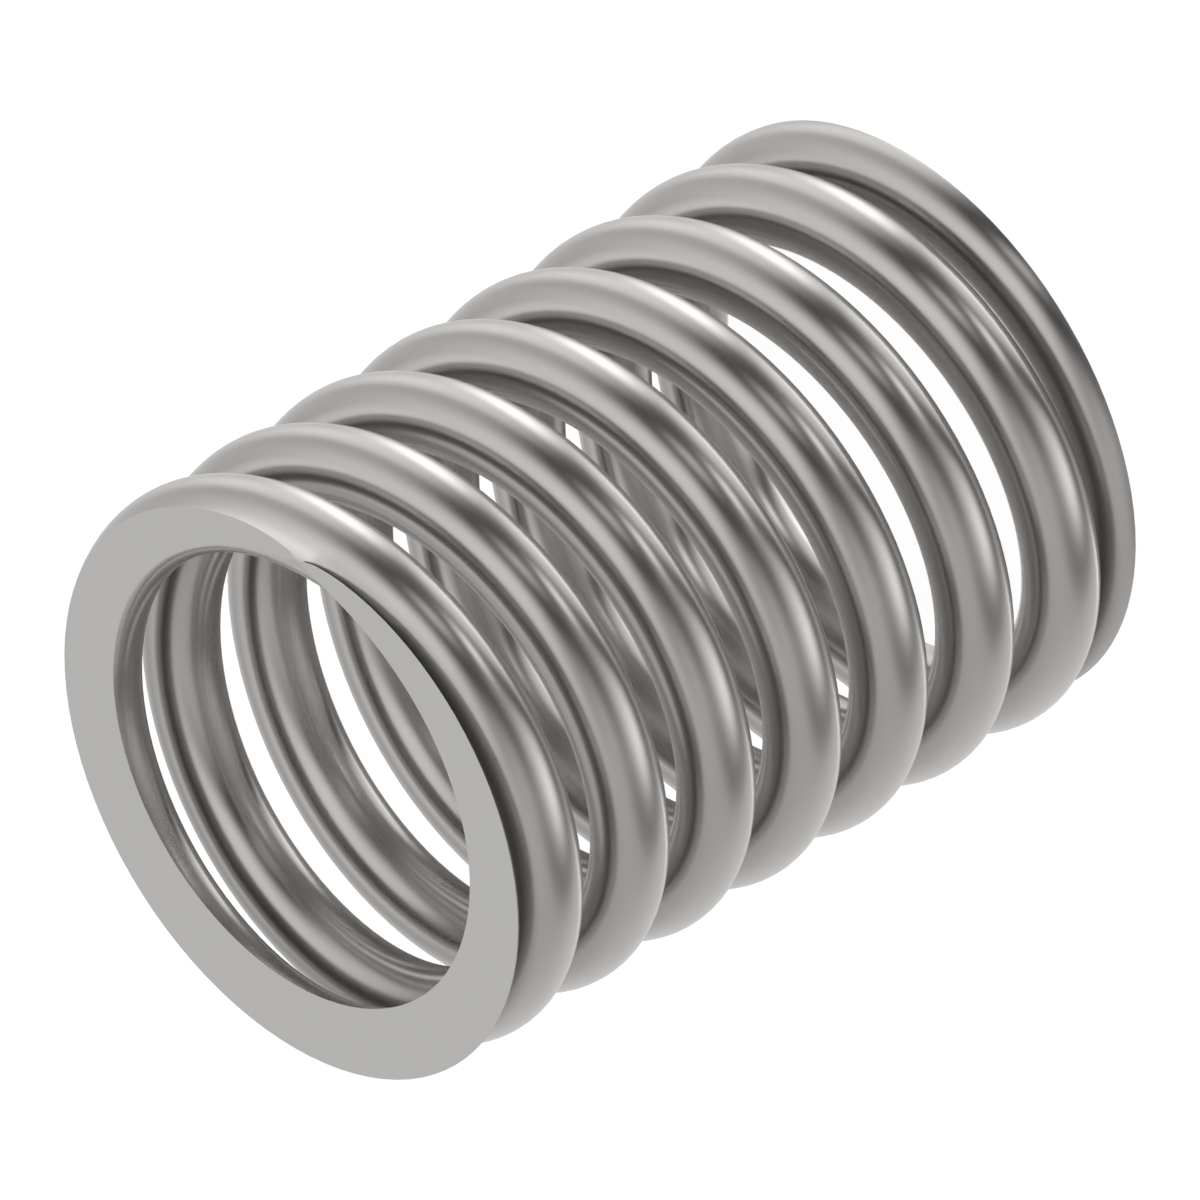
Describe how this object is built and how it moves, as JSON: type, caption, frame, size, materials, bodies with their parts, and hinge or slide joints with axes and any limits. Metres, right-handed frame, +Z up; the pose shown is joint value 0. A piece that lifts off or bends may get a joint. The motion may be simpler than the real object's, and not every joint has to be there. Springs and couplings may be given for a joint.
{
  "type": "compression spring",
  "caption": "Helical compression spring of round wire, wound right-hand at an even pitch, with closed ends ground flat square to the axis.",
  "frame": {"origin": "centre of the lower ground end's plane, on the coil's axis", "axes": "+Z up along the coil's axis to the upper ground end, +X towards the lower tip of the wire"},
  "size_m": [0.0206, 0.0205, 0.0275],
  "materials": {
    "spring_steel": "satin drawn wire, with the two end faces ground flat"
  },
  "bodies": {
    "root": {"spring_coil": "spring_steel"}
  },
  "joints": []
}
